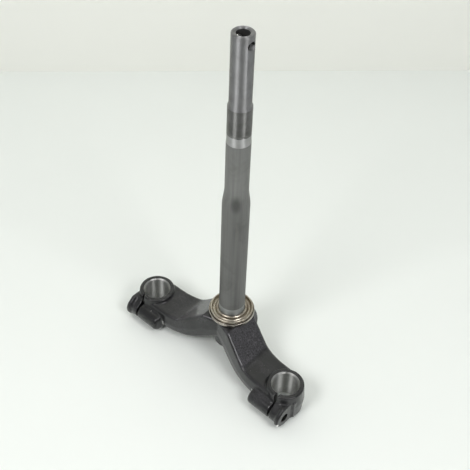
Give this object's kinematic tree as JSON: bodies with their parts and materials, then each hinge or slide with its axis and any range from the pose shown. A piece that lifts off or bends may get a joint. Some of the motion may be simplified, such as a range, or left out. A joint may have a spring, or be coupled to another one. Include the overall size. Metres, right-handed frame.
{
  "type": "motorcycle triple clamp",
  "caption": "Forged lower fork yoke with split clamps for the fork legs and an upright hollow steering stem that carries the lower bearing race over a dust washer.",
  "frame": {"origin": "on the stem's axis, in the plane that the feet of the fork clamps stand on", "axes": "+Z along the stem towards its top, +X from one fork leg to the other, -Y towards the front, where the fork legs and the pinch bolts are"},
  "size_m": [0.252, 0.088, 0.4368],
  "materials": {
    "stem_steel": "raw drawn tube, turned at the thread and the top section",
    "yoke_paint": "gloss black paint over forged steel, bare and turned in the bores",
    "race_steel": "hardened steel under brown grease",
    "washer_steel": "bright pressed steel"
  },
  "bodies": {
    "root": {"steering_stem": "stem_steel", "lower_yoke": "yoke_paint", "lower_race": "race_steel", "dust_washer": "washer_steel"}
  },
  "joints": []
}
